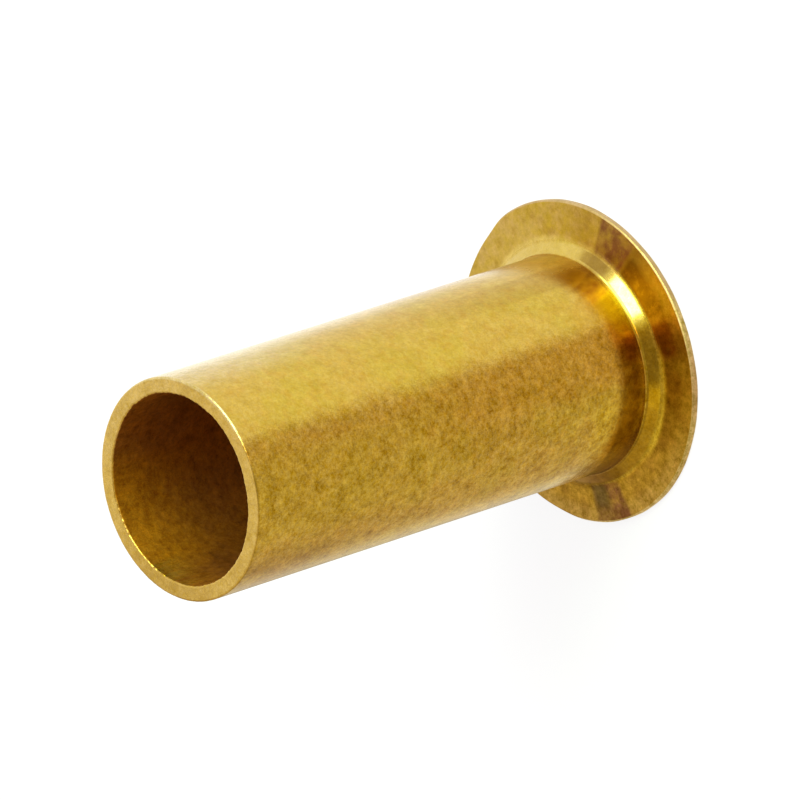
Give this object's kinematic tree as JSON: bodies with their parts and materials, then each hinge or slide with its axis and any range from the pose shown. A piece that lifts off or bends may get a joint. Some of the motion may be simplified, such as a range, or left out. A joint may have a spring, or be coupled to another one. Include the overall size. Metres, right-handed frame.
{
  "type": "pipe insert sleeve",
  "caption": "Thin-walled round brass sleeve with one end flared into a flange, pushed into the end of a soft pipe so that a compression nut can't crush it.",
  "frame": {"origin": "centre of the flange's underside, on the tube's axis", "axes": "+Z along the tube's axis, from the flange to the free end; +X and +Y are any two directions square to it"},
  "size_m": [0.0092, 0.0092, 0.0152],
  "materials": {
    "brass": "drawn brass, satin and slightly tarnished, with a smoother burnished shoulder at the flange"
  },
  "bodies": {
    "root": {"insert_sleeve": "brass"}
  },
  "joints": []
}
